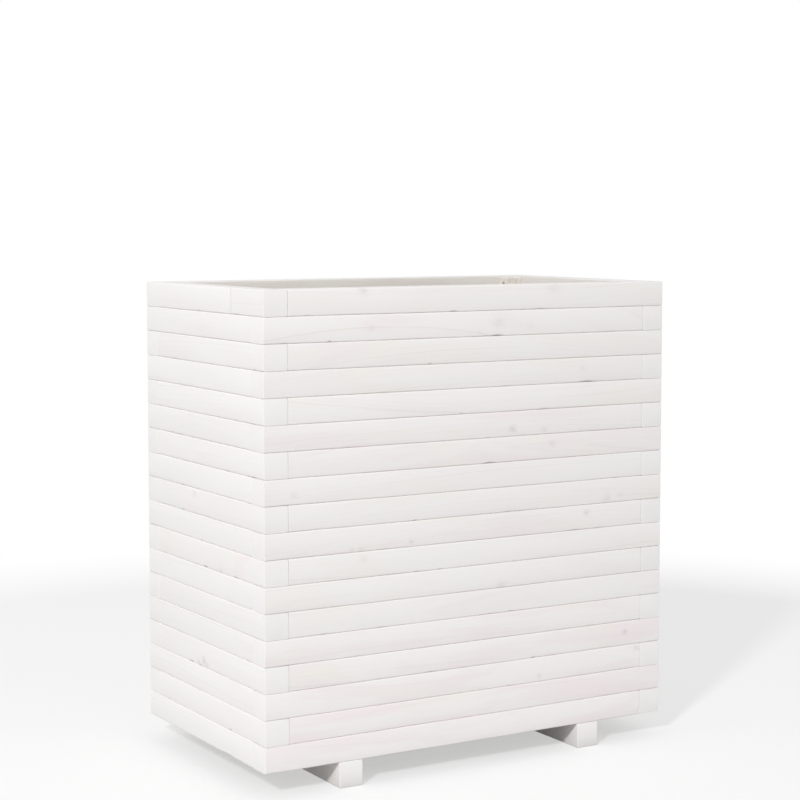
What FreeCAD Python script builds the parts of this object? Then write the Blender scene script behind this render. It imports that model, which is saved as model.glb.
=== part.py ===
"""Wooden planter: a box of stacked square battens on two runner feet.

Eighteen courses of planed battens are laid like a log cabin. In each course every batten
runs through to the face at one end and butts against its neighbour at the other, and the
courses are turned over by turns, so the corners lap. Four posts stand in the inner corners.
Screws driven from inside, through the posts, hold the battens, so none shows outside. Floor
slats lie on the feet, with gaps between them for water.

Millimetres. The origin is under the middle of the planter, at the level of the ground. +Z is
up, and the long front faces -Y.
"""
import FreeCAD, Part
import os
import re
import Sketcher

SIZES = (
    ("width", 700, "outside, left to right"),
    ("depth", 400, "outside, front to back"),
    ("course_count", 18, "courses of battens in the walls"),
    ("batten_height", 38, "height of one course"),
    ("batten_thickness", 38, "thickness of the walls"),
    ("arris_radius", 1.5, "rounding along the edges of planed stock"),
    ("foot_height", 38, "from the ground to the lowest course"),
    ("foot_width", 38, "of one runner foot"),
    ("foot_inset", 120, "from the end of the planter to the side of a foot"),
    ("post_width", 28, "of a square corner post"),
    ("post_end_gap", 4, "from either end of a post to the edge of the walls"),
    ("slat_count", 5, "floor slats"),
    ("slat_thickness", 18, "of a floor slat"),
    ("drain_gap", 7, "between two floor slats"),
    ("slat_wall_gap", 3, "between the floor and the walls"),
    ("slat_post_gap", 1, "between a notched slat and a post"),
    ("screw_diameter", 4, "shank of every screw"),
    ("screw_head", 8, "across the head of a screw"),
    ("pan_height", 3, "of the head of a foot screw"),
    ("point_length", 5, "tapered point of a screw"),
    ("point_flat", 0.6, "across the blunt end of a screw's point"),
    ("drive_reach", 4.6, "across the cross recess in a head"),
    ("drive_width", 1.2, "of one arm of the cross recess"),
    ("drive_depth", 1.6, "of the cross recess"),
    ("hole_clearance", 0.1, "between a screw and its hole, all round"),
    ("point_clearance", 1, "between a screw's point and the end of its hole"),
    ("screw_offset", 6, "of a wall screw, from the middle of its course"),
    ("wall_screw_cover", 16, "wood left beyond a wall screw's point"),
    ("floor_screw_cover", 16, "wood left beyond a floor screw's point"),
    ("foot_screw_cover", 12, "wood left beyond a foot screw's point"),
    ("foot_screw_sink", 14, "depth of the counterbore under a foot"),
    ("counterbore_clearance", 1, "between a foot screw's head and its counterbore, all round"),
)

# Lengths that follow from the sizes
INNER_WIDTH = "(width - 2 * batten_thickness)"
INNER_DEPTH = "(depth - 2 * batten_thickness)"
LONG_BATTEN = "(width - batten_thickness)"
SHORT_BATTEN = "(depth - batten_thickness)"
WALL_HEIGHT = "(course_count * batten_height)"
FOOT_MIDDLE = "(width / 2 - foot_inset - foot_width / 2)"
SLAT_WIDTH = f"(({INNER_DEPTH} - 2 * slat_wall_gap - (slat_count - 1) * drain_gap) / slat_count)"
SLAT_REACH = f"({INNER_WIDTH} / 2 - slat_wall_gap)"
HOLE = "(screw_diameter + 2 * hole_clearance)"
WALL_SCREW = "(post_width + batten_thickness - wall_screw_cover)"
FLOOR_SCREW = "(slat_thickness + foot_height - floor_screw_cover)"
FOOT_SCREW = "(foot_height - foot_screw_sink + batten_height - foot_screw_cover)"

# Outlines of screw heads, from the middle of the top to the shank
COUNTERSUNK_HEAD = (
    ("0", "0"),
    ("screw_head / 2", "0"),
    ("screw_diameter / 2", "(screw_diameter - screw_head) / 2"))
PAN_HEAD = (
    ("0", "pan_height"),
    ("screw_head / 2", "pan_height"),
    ("screw_head / 2", "0"),
    ("screw_diameter / 2", "0"))

X_AXIS = FreeCAD.Vector(1, 0, 0)
Y_AXIS = FreeCAD.Vector(0, 1, 0)
Z_AXIS = FreeCAD.Vector(0, 0, 1)
UNTURNED = (Z_AXIS, 0)
COUNTERSINK_ANGLE = 90
STRAIGHT = 1e-6

doc = FreeCAD.newDocument("planter")
sheet = doc.addObject("Spreadsheet::Sheet", "Sizes")
nodes = []


def fill_sheet():
    """Write each size, its name and its meaning in a row of the sheet."""
    for row, (alias, value, meaning) in enumerate(SIZES, start=1):
        sheet.set(f"A{row}", alias)
        sheet.set(f"B{row}", str(value))
        sheet.set(f"C{row}", meaning)
        sheet.setAlias(f"B{row}", alias)
    doc.recompute()


def formula(text):
    """Give a formula of size names as an expression that reads the sheet."""
    return re.sub(r"[a-z][a-z_]*", r"Sizes.\g<0>", text)


def value(text):
    """Work out a formula of size names as a number."""
    return float(sheet.evalExpression(formula(text)))


def bind(owner, name, text):
    """Tie a property to a formula of size names."""
    owner.setExpression(name, formula(text))


def new_body(label):
    """Start a piece that copies are made of."""
    body = doc.addObject("PartDesign::Body", label)
    body.Label = label
    return body


def origin_feature(body, role):
    """Find one of a body's own origin planes or axes."""
    return next(item for item in body.Origin.OriginFeatures if item.Role == role)


def sketch_on(body, name, plane, lift="0"):
    """Start a sketch on an origin plane, lifted along the plane's normal."""
    sketch = body.newObject("Sketcher::SketchObject", f"{body.Name}_{name}")
    sketch.AttachmentSupport = [(origin_feature(body, plane), "")]
    sketch.MapMode = "FlatFace"
    bind(sketch, "AttachmentOffset.Base.z", lift)
    return sketch


def fix_point(sketch, geometry, point, x, y):
    """Hold one point of a sketch at two formulas from the sketch's origin."""
    for kind, text in (("DistanceX", x), ("DistanceY", y)):
        index = sketch.addConstraint(
            Sketcher.Constraint(kind, -1, 1, geometry, point, value(text)))
        bind(sketch, f"Constraints[{index}]", text)


def outline(body, name, plane, points, lift="0"):
    """Draw a closed outline with straight sides through points given as formulas."""
    sketch = sketch_on(body, name, plane, lift)
    places = [FreeCAD.Vector(value(x), value(y), 0) for x, y in points]
    for start, end in zip(places, places[1:] + places[:1]):
        sketch.addGeometry(Part.LineSegment(start, end))
    for index, (x, y) in enumerate(points):
        before = (index - 1) % len(points)
        sketch.addConstraint(Sketcher.Constraint("Coincident", before, 2, index, 1))
        fix_point(sketch, index, 1, x, y)
    return sketch


def circles(body, name, plane, centres, diameter, lift="0"):
    """Draw equal circles round centres given as formulas."""
    sketch = sketch_on(body, name, plane, lift)
    for index, (x, y) in enumerate(centres):
        centre = FreeCAD.Vector(value(x), value(y), 0)
        sketch.addGeometry(Part.Circle(centre, Z_AXIS, value(diameter) / 2))
        fix_point(sketch, index, 3, x, y)
        width = sketch.addConstraint(Sketcher.Constraint("Diameter", index, value(diameter)))
        bind(sketch, f"Constraints[{width}]", diameter)
    return sketch


def pad(body, sketch, length):
    """Raise a sketch into a solid."""
    feature = body.newObject("PartDesign::Pad", f"{body.Name}_pad")
    feature.Profile = sketch
    bind(feature, "Length", length)
    doc.recompute()


def round_edges(body, axis):
    """Round the edges that run along one axis."""
    edges = [f"Edge{number}" for number, edge in enumerate(body.Shape.Edges, start=1)
             if edge.tangentAt(edge.FirstParameter).cross(axis).Length < STRAIGHT]
    solid = body.Tip
    feature = body.newObject("PartDesign::Fillet", f"{body.Name}_arris")
    feature.Base = (solid, edges)
    bind(feature, "Radius", "arris_radius")
    doc.recompute()


def finish_cut(body, before):
    """Recompute a body after a cut and see that it lost material."""
    doc.recompute()
    if body.Shape.Volume >= before:
        raise ValueError(f"a cut in {body.Label} removed nothing")


def pocket(body, sketch, depth, reverse=False):
    """Cut a sketch into the solid, against the sketch's normal unless reversed."""
    before = body.Shape.Volume
    feature = body.newObject("PartDesign::Pocket", f"{sketch.Name}_pocket")
    feature.Profile = sketch
    feature.Reversed = reverse
    bind(feature, "Length", depth)
    finish_cut(body, before)
    return feature


def screw_holes(body, sketch, reverse=False, counterbored=False):
    """Drill clearance holes right through, countersunk or counterbored at the sketch."""
    doc.recompute()
    before = body.Shape.Volume
    feature = body.newObject("PartDesign::Hole", f"{sketch.Name}_hole")
    feature.Profile = sketch
    feature.Reversed = reverse
    feature.DepthType = "ThroughAll"
    bind(feature, "Diameter", HOLE)
    if counterbored:
        feature.HoleCutType = "Counterbore"
        bind(feature, "HoleCutDiameter", "screw_head + 2 * counterbore_clearance")
        bind(feature, "HoleCutDepth", "foot_screw_sink")
    else:
        feature.HoleCutType = "Countersink"
        feature.HoleCutCountersinkAngle = COUNTERSINK_ANGLE
        bind(feature, "HoleCutDiameter", "screw_head + 2 * hole_clearance")
    finish_cut(body, before)
    return feature


def repeat_per_course(body, feature):
    """Repeat a cut up the body, once for each course."""
    pattern = body.newObject("PartDesign::LinearPattern", f"{feature.Name}_courses")
    pattern.Originals = [feature]
    pattern.Direction = (origin_feature(body, "Z_Axis"), [""])
    bind(pattern, "Length", "(course_count - 1) * batten_height")
    bind(pattern, "Occurrences", "course_count")
    body.Tip = pattern
    doc.recompute()


def copy_of(piece, base, turn=UNTURNED):
    """Place a copy of a piece at a point given as formulas, turned about one axis."""
    link = doc.addObject("App::Link", f"{piece.Name}_copy")
    link.LinkedObject = piece
    axis, angle = turn
    link.Placement = FreeCAD.Placement(FreeCAD.Vector(), FreeCAD.Rotation(axis, angle))
    for letter, text in zip("xyz", base):
        bind(link, f"Placement.Base.{letter}", text)
    return link


def group(label, members, lift="0"):
    """Gather placed copies, lifted to their height."""
    compound = doc.addObject("Part::Compound", label)
    compound.Label = label
    compound.Links = members
    bind(compound, "Placement.Base.z", lift)
    return compound


def add_node(label, members, lift="0"):
    """Gather placed copies as one named sub-part of the planter."""
    nodes.append(group(label, members, lift))


def make_batten(label, length, for_foot=False):
    """Make a batten from its through end, with pilot holes in its inner face.

    X runs along the batten and Y inwards. The two holes lie below and above the middle of the
    course, so a batten that is turned over still meets the same holes in the posts. The
    lowest long battens also have holes underneath, for the screws through the feet.
    """
    body = new_body(label)
    pad(body, outline(body, "section", "YZ_Plane", (
        ("0", "0"),
        ("batten_thickness", "0"),
        ("batten_thickness", "batten_height"),
        ("0", "batten_height"))), length)
    round_edges(body, X_AXIS)
    pilots = circles(body, "pilots", "XZ_Plane", (
        ("batten_thickness + post_width / 2", "batten_height / 2 - screw_offset"),
        (f"{length} - post_width / 2", "batten_height / 2 + screw_offset")),
        HOLE, lift="-batten_thickness")
    pocket(body, pilots, "batten_thickness - wall_screw_cover + point_clearance", reverse=True)
    if for_foot:
        foot_pilots = circles(body, "foot_pilots", "XY_Plane", (
            (f"width / 2 - {FOOT_MIDDLE}", "batten_thickness / 2"),
            (f"width / 2 + {FOOT_MIDDLE}", "batten_thickness / 2")), HOLE)
        pocket(body, foot_pilots, "batten_height - foot_screw_cover + point_clearance", reverse=True)
    return body


def make_post():
    """Make the front left corner post, from its outer corner at the foot of the walls."""
    body = new_body("corner_post")
    pad(body, outline(body, "section", "XY_Plane", (
        ("0", "0"),
        ("post_width", "0"),
        ("post_width", "post_width"),
        ("0", "post_width")), lift="post_end_gap"), f"{WALL_HEIGHT} - 2 * post_end_gap")
    round_edges(body, Z_AXIS)
    to_front = circles(body, "to_front", "XZ_Plane", (
        ("post_width / 2", "batten_height / 2 - screw_offset"),), HOLE, lift="-post_width")
    repeat_per_course(body, screw_holes(body, to_front, reverse=True))
    to_side = circles(body, "to_side", "YZ_Plane", (
        ("post_width / 2", "batten_height / 2 + screw_offset"),), HOLE, lift="post_width")
    repeat_per_course(body, screw_holes(body, to_side))
    return body


def slat_middle(number):
    """Give the depth of a floor slat's middle line, counted from the front."""
    first = f"{SLAT_WIDTH} / 2 - {INNER_DEPTH} / 2 + slat_wall_gap"
    return f"({first} + {number} * ({SLAT_WIDTH} + drain_gap))"


def make_foot(slat_total):
    """Make a runner foot about its middle, drilled for the walls above and for the floor."""
    body = new_body("runner_foot")
    pad(body, outline(body, "section", "XY_Plane", (
        ("-foot_width / 2", "-depth / 2"),
        ("foot_width / 2", "-depth / 2"),
        ("foot_width / 2", "depth / 2"),
        ("-foot_width / 2", "depth / 2"))), "foot_height")
    round_edges(body, Y_AXIS)
    to_walls = circles(body, "to_walls", "XY_Plane", (
        ("0", "batten_thickness / 2 - depth / 2"),
        ("0", "depth / 2 - batten_thickness / 2")), HOLE)
    screw_holes(body, to_walls, reverse=True, counterbored=True)
    slat_middles = [("0", slat_middle(number)) for number in range(slat_total)]
    pilots = circles(body, "pilots", "XY_Plane", slat_middles, HOLE, lift="foot_height")
    pocket(body, pilots, "foot_height - floor_screw_cover + point_clearance")
    return body


def make_slat(label, notched):
    """Make a floor slat about its middle line, notched round the posts at its front corners."""
    body = new_body(label)
    corner = (SLAT_REACH, f"-{SLAT_WIDTH} / 2")
    points = [corner]
    if notched:
        side = f"({INNER_WIDTH} / 2 - post_width - slat_post_gap)"
        end = f"(post_width + slat_post_gap - slat_wall_gap - {SLAT_WIDTH} / 2)"
        points = [(side, corner[1]), (side, end), (corner[0], end)]
    points.append((SLAT_REACH, f"{SLAT_WIDTH} / 2"))
    mirrored = [(f"-{x}", y) for x, y in reversed(points)]
    pad(body, outline(body, "outline", "XY_Plane", points + mirrored), "slat_thickness")
    to_feet = circles(body, "to_feet", "XY_Plane", (
        (FOOT_MIDDLE, "0"),
        (f"-{FOOT_MIDDLE}", "0")), HOLE, lift="slat_thickness")
    screw_holes(body, to_feet)
    return body


def make_screw(label, length, head):
    """Turn a screw that points down, and cut a cross into its head.

    The length counts from the screw's origin. The head is an outline such as PAN_HEAD.
    """
    body = new_body(label)
    profile = outline(body, "profile", "XZ_Plane", head + (
        ("screw_diameter / 2", f"point_length - {length}"),
        ("point_flat / 2", f"-{length}"),
        ("0", f"-{length}")))
    turned = body.newObject("PartDesign::Revolution", f"{label}_turned")
    turned.Profile = profile
    turned.ReferenceAxis = (origin_feature(body, "Z_Axis"), [""])
    doc.recompute()
    reach = "drive_reach / 2"
    arm = "drive_width / 2"
    quarter = ((reach, f"-{arm}"), (reach, arm), (arm, arm))
    points = []
    for _ in range(4):
        points.extend(quarter)
        quarter = tuple((f"-({y})", x) for x, y in quarter)
    cross = outline(body, "recess", "XY_Plane", points, lift=head[0][1])
    pocket(body, cross, "drive_depth")
    return body


def add_courses(count):
    """Lay the courses from the ground up, each of two long and two short battens."""
    long_batten = make_batten("long_batten", LONG_BATTEN)
    lowest_batten = make_batten("lowest_long_batten", LONG_BATTEN, for_foot=True)
    short_batten = make_batten("short_batten", SHORT_BATTEN)
    right, left = "width / 2", "-width / 2"
    back, front = "depth / 2", "-depth / 2"

    def long_pair(batten):
        """Place a batten in the front wall and its like in the back wall."""
        return [copy_of(batten, (left, front, "0")),
                copy_of(batten, (right, back, "0"), (Z_AXIS, 180))]

    lowest_pair = long_pair(lowest_batten)
    plain_long = long_pair(long_batten)
    turned_long = [copy_of(long_batten, (right, front, "batten_height"), (Y_AXIS, 180)),
                   copy_of(long_batten, (left, back, "batten_height"), (X_AXIS, 180))]
    plain_short = [copy_of(short_batten, (right, front, "0"), (Z_AXIS, 90)),
                   copy_of(short_batten, (left, back, "0"), (Z_AXIS, -90))]
    turned_short = [copy_of(short_batten, (right, back, "batten_height"), (X_AXIS - Y_AXIS, 180)),
                    copy_of(short_batten, (left, front, "batten_height"), (X_AXIS + Y_AXIS, 180))]
    for number in range(count):
        turned = number % 2 == 1
        lift = f"foot_height + {number} * batten_height"
        long_battens = turned_long if turned else plain_long
        if number == 0:
            long_battens = lowest_pair
        add_node(f"course_{number + 1:02d}_front_back_battens", long_battens, lift)
        add_node(f"course_{number + 1:02d}_side_battens", turned_short if turned else plain_short, lift)


def add_posts(count):
    """Stand a post in each inner corner, with the screws that go through it."""
    post = make_post()
    screw = make_screw("wall_screw", WALL_SCREW, COUNTERSUNK_HEAD)
    screws = []
    for number in range(count):
        low = f"{number} * batten_height + batten_height / 2 - screw_offset"
        high = f"{number} * batten_height + batten_height / 2 + screw_offset"
        screws.append(copy_of(screw, ("post_width / 2", "post_width", low), (X_AXIS, -90)))
        screws.append(copy_of(screw, ("post_width", "post_width / 2", high), (Y_AXIS, 90)))
    post_screws = group("post_screws", screws)
    right, back = f"{INNER_WIDTH} / 2", f"{INNER_DEPTH} / 2"
    left, front = f"-{right}", f"-{back}"
    base, top = "foot_height", f"foot_height + {WALL_HEIGHT}"
    for corner, place, turn in (
            ("front_left", (left, front, base), UNTURNED),
            ("front_right", (right, front, top), (Y_AXIS, 180)),
            ("back_left", (left, back, top), (X_AXIS, 180)),
            ("back_right", (right, back, base), (Z_AXIS, 180))):
        add_node(f"{corner}_post", [copy_of(post, place, turn)])
        add_node(f"{corner}_post_screws", [copy_of(post_screws, place, turn)])


def add_base(slat_total):
    """Lay the feet and the floor slats, with the screws that hold them."""
    foot = make_foot(slat_total)
    edge_slat = make_slat("edge_slat", notched=True)
    middle_slat = make_slat("middle_slat", notched=False)
    floor_screw = make_screw("floor_screw", FLOOR_SCREW, COUNTERSUNK_HEAD)
    foot_screw = make_screw("foot_screw", FOOT_SCREW, PAN_HEAD)
    sides = (("left", f"-{FOOT_MIDDLE}"), ("right", FOOT_MIDDLE))
    for side, x in sides:
        add_node(f"{side}_foot", [copy_of(foot, (x, "0", "0"))])
    floor_top = "foot_height + slat_thickness"
    for number in range(slat_total):
        at_front = number == 0
        at_back = number == slat_total - 1
        slat = edge_slat if at_front or at_back else middle_slat
        turn = (Z_AXIS, 180) if at_back else UNTURNED
        place = ("0", slat_middle(number), "foot_height")
        add_node(f"floor_slat_{number + 1}", [copy_of(slat, place, turn)])
    add_node("floor_slat_screws", [copy_of(floor_screw, (x, slat_middle(number), floor_top))
                                   for _, x in sides for number in range(slat_total)])
    wall_middle = "(depth / 2 - batten_thickness / 2)"
    add_node("foot_screws", [copy_of(foot_screw, (x, y, "foot_screw_sink"), (X_AXIS, 180))
                             for _, x in sides for y in (f"-{wall_middle}", wall_middle)])


def write_parts():
    """Check every object and shape, then write each sub-part to its own file."""
    doc.recompute()
    for item in doc.Objects:
        if {"Invalid", "Error"} & set(item.State):
            raise ValueError(f"{item.Label} failed: {item.State}")
    for node in nodes:
        if node.Shape.isNull() or not node.Shape.isValid() or not node.Shape.Solids:
            raise ValueError(f"{node.Label} has no valid shape")
    os.makedirs("parts", exist_ok=True)
    for node in nodes:
        node.Shape.exportStep(f"parts/{node.Label}.step")
        print(f"{node.Label}: {len(node.Shape.Solids)} solids")


fill_sheet()
add_base(int(value("slat_count")))
add_posts(int(value("course_count")))
add_courses(int(value("course_count")))
write_parts()
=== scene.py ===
"""Looks of the wooden planter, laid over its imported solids.

Each course node is replaced by a pair of planed battens with eased, slightly uneven arrises, knots,
splices and edge flaws. The feet are replaced the same way. Posts, floor slats and screws keep their
solids and get a finish. Lengths are in metres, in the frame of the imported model. Only marks in the wood
are in millimetres.
"""

import logging
import math
from dataclasses import dataclass, field, replace
from enum import Enum
from itertools import chain
from typing import Any, Callable, Iterator, Mapping, Optional, Sequence, Union

import bpy
import numpy as np
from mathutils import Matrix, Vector


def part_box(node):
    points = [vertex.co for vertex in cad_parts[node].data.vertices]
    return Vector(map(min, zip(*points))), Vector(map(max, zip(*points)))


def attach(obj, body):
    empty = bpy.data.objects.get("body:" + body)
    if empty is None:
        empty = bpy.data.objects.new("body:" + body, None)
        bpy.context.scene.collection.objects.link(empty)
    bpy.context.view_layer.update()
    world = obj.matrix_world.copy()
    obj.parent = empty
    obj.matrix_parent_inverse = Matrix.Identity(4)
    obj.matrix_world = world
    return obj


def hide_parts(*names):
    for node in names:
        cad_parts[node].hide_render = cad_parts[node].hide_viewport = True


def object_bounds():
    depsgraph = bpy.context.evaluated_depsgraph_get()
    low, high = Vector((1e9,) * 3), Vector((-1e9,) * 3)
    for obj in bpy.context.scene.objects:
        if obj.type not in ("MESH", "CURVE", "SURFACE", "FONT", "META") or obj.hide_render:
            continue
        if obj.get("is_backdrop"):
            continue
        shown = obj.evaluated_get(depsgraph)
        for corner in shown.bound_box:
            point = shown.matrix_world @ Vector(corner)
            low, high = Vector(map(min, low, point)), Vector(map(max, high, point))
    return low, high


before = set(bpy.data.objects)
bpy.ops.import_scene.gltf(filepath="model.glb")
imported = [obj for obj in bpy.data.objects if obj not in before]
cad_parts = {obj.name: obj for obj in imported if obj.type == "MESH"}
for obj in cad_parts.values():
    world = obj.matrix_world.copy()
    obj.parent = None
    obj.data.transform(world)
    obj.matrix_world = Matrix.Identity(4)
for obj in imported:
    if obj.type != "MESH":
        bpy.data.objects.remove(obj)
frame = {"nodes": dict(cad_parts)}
CAD_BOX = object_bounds()

LOG = logging.getLogger("planter")
MM = 0.001
OUT_OF_REACH = 1.0
NOISE_MIDDLE = 0.5
BODY = "root"
WOOD_SEED = 1807

Array = np.ndarray
Band = tuple[float, float]
Colour = tuple[float, float, float]

UP = np.array([0.0, 0.0, 1.0])
WHITE = (1.0, 1.0, 1.0, 1.0)


def linear(red: float, green: float, blue: float) -> Colour:
    """Turn a display colour of 0 to 255 per channel into the linear values that shaders take.

    Args:
        red: Display red.
        green: Display green.
        blue: Display blue.

    Returns:
        The three linear channels, by the sRGB curve.
    """
    display = np.array([red, green, blue]) / 255
    toe = display / 12.92
    curve = ((display + 0.055) / 1.055) ** 2.4
    return tuple(float(c) for c in np.where(display <= 0.04045, toe, curve))


class Slot(Enum):
    """The record's material slots."""

    WHITEWASH = "whitewashed_pine"
    SAWN = "washed_sawn_pine"
    ZINC = "zinc_screw"


class Wall(Enum):
    """The four walls, each with the way that it faces."""

    FRONT = (0.0, -1.0)
    RIGHT = (1.0, 0.0)
    BACK = (0.0, 1.0)
    LEFT = (-1.0, 0.0)

    @property
    def outward(self) -> Array:
        """The wall's outward direction."""
        return np.array([*self.value, 0.0])

    @property
    def along(self) -> Array:
        """The direction to the right of someone who faces the wall: up crossed with outward."""
        return np.cross(UP, self.outward)

    @property
    def axes(self) -> Array:
        """Along, up and outward, one in each row."""
        return np.stack([self.along, UP, self.outward])


def math_method(operation: str, reflected: bool = False) -> Callable[["Signal", "Operand"], "Signal"]:
    """Make a method of two values that adds a Math node.

    Args:
        operation: The node's operation.
        reflected: Whether the method's own value comes second.

    Returns:
        The method.
    """
    def method(own: "Signal", other: "Operand") -> "Signal":
        """Add the node."""
        operands = (other, own) if reflected else (own, other)
        return own.math(operation, *operands)

    return method


class Signal:
    """A shader socket that takes part in Python arithmetic: each operator adds a Math node."""

    __add__ = __radd__ = math_method("ADD")
    __sub__ = math_method("SUBTRACT")
    __rsub__ = math_method("SUBTRACT", reflected=True)
    __mul__ = __rmul__ = math_method("MULTIPLY")
    __pow__ = math_method("POWER")
    larger = math_method("MAXIMUM")

    def __init__(self, graph: "Graph", socket: bpy.types.NodeSocket) -> None:
        """Keep the socket and the graph that it belongs to."""
        self.graph = graph
        self.socket = socket

    def math(self, operation: str, *operands: "Operand") -> "Signal":
        """Add a Math node of this operation, with its inputs in order."""
        sockets = dict(zip(("Value", "Value_001"), operands))
        return self.graph.add("Math", {"operation": operation}, sockets, "Value")

    def __abs__(self) -> "Signal":
        """Absolute value."""
        return self.math("ABSOLUTE", self)

    def floor(self) -> "Signal":
        """The whole number below."""
        return self.math("FLOOR", self)

    def fraction(self) -> "Signal":
        """The part after the point."""
        return self.math("FRACT", self)

    def bell(self, reach: float) -> "Signal":
        """A bell curve of this distance: 1 at zero, and e to the minus one at the reach."""
        scaled = self * (1 / reach)
        return self.math("EXPONENT", 0.0 - scaled * scaled)

    def rise(self, start: float, stop: float) -> "Signal":
        """Climb smoothly from 0 at one value to 1 at another.

        Args:
            start: The value that gives 0.
            stop: The value that gives 1, above the start or below it.

        Returns:
            The smooth step.
        """
        low, high = min(start, stop), max(start, stop)
        first, last = (0.0, 1.0) if start < stop else (1.0, 0.0)
        settings = {"interpolation_type": "SMOOTHSTEP"}
        sockets = {"Value": self, "From Min": low, "From Max": high, "To Min": first, "To Max": last}
        return self.graph.add("MapRange", settings, sockets, "Result")


Operand = Union[Signal, float]
Value = Union[Signal, float, Sequence[float]]


class Graph:
    """A node tree in which one method makes every node."""

    def __init__(self, owner: Union[bpy.types.Material, bpy.types.World]) -> None:
        """Empty the owner's node tree.

        Args:
            owner: The material or world to fill.
        """
        owner.use_nodes = True
        self.tree = owner.node_tree
        self.tree.nodes.clear()

    @staticmethod
    def find(sockets: Any, name: str) -> bpy.types.NodeSocket:
        """Find one of a node's inputs or outputs by its identifier or else by its name."""
        by_identifier = [s for s in sockets if s.identifier == name]
        return by_identifier[0] if by_identifier else sockets[name]

    def node(self, kind: str, settings: Mapping[str, Any],
             sockets: Mapping[str, Value]) -> bpy.types.Node:
        """Make a node.

        Args:
            kind: The node's type, without the prefix that all of them share.
            settings: The node's properties, set before its sockets.
            sockets: Values or links for its inputs, by identifier or name.

        Returns:
            The node.
        """
        made = self.tree.nodes.new(f"ShaderNode{kind}")
        for name, setting in settings.items():
            setattr(made, name, setting)
        for name, value in sockets.items():
            target = self.find(made.inputs, name)
            if isinstance(value, Signal):
                self.tree.links.new(value.socket, target)
            else:
                target.default_value = value
        return made

    def add(self, kind: str, settings: Mapping[str, Any], sockets: Mapping[str, Value],
            output: str) -> Signal:
        """Make a node and give back one of its outputs."""
        return Signal(self, self.find(self.node(kind, settings, sockets).outputs, output))

    def place(self) -> Signal:
        """Object coordinates, which are places in the frame."""
        return self.add("TexCoord", {}, {}, "Object")

    def attribute(self, name: str, output: str) -> Signal:
        """Read one of the mesh's own attributes."""
        return self.add("Attribute", {"attribute_name": name}, {}, output)

    def part(self, vector: Signal, axis: str) -> Signal:
        """One component of a vector."""
        return self.add("SeparateXYZ", {}, {"Vector": vector}, axis)

    def vector(self, x: Operand, y: Operand, z: Operand) -> Signal:
        """A vector from three values."""
        return self.add("CombineXYZ", {}, {"X": x, "Y": y, "Z": z}, "Vector")

    def noise(self, place: Signal, scale: float, detail: float, roughness: float = 0.5) -> Signal:
        """Fractal noise of about 0 to 1: cells per unit of place, octaves, and the finer ones' weight."""
        sockets = {"Vector": place, "Scale": scale, "Detail": detail, "Roughness": roughness}
        return self.add("TexNoise", {"noise_dimensions": "3D"}, sockets, "Fac")

    def blend(self, amount: Operand, first: Value, second: Value) -> Signal:
        """Mix two colours.

        Args:
            amount: Share of the second colour.
            first: The first colour.
            second: The second colour.

        Returns:
            The mixed colour.
        """
        opaque = [c if isinstance(c, Signal) else (*c, 1.0) for c in (first, second)]
        sockets = {"Factor_Float": amount, "A_Color": opaque[0], "B_Color": opaque[1]}
        return self.add("Mix", {"data_type": "RGBA"}, sockets, "Result_Color")

    def bump(self, height: Signal, depth: float) -> Signal:
        """A normal that follows a height of 0 to 1, over a depth in metres."""
        sockets = {"Height": height, "Distance": depth, "Strength": 1.0}
        return self.add("Bump", {}, sockets, "Normal")

    def matt(self, colour: Colour) -> Signal:
        """A plain matt surface."""
        return self.add("BsdfDiffuse", {}, {"Color": (*colour, 1.0)}, "BSDF")

    def mixed(self, amount: Signal, first: Signal, second: Signal) -> Signal:
        """Mix two surfaces by the share of the second."""
        sockets = {"Fac": amount, "Shader": first, "Shader_001": second}
        return self.add("MixShader", {}, sockets, "Shader")

    def close(self, kind: str, surface: Signal) -> None:
        """Link the surface to an output node of this kind."""
        self.node(kind, {}, {"Surface": surface})

    def outside_plan(self, place: Signal, inset: float = 0.0) -> Signal:
        """Measure how far a place lies outside the object's plan.

        Args:
            place: Object coordinates.
            inset: How far the plan's sides are drawn in.

        Returns:
            The distance, which is below 0 inside.
        """
        half = (CAD_BOX[1] - CAD_BOX[0]) / 2
        beside, before = (abs(self.part(place, axis)) - (side - inset) for axis, side in zip("XY", half))
        return beside.larger(before)


@dataclass(frozen=True)
class Streak:
    """Noise drawn out along the grain: cells per metre along and across it, and octaves."""

    along: float
    across: float
    detail: float = 2.0
    roughness: float = 0.5

    def read(self, graph: Graph, along: Signal, up: Signal, out: Signal) -> Signal:
        """Read the noise at a place in the grain, scaled to cells."""
        cell = graph.vector(along * self.along, up * self.across, out * self.across)
        return graph.noise(cell, 1.0, self.detail, self.roughness)


SWAY = Streak(2.2, 16.0)
RIPPLE = Streak(9.0, 60.0)
FIBRES = Streak(7.0, 420.0, detail=3.0, roughness=0.65)
CLOUDS = Streak(5.0, 34.0, detail=3.0, roughness=0.55)
HUES = Streak(8.0, 22.0)
RAGS = Streak(210.0, 380.0, detail=4.0, roughness=0.65)
SAW_DRIFT = Streak(30.0, 8.0)


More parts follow.
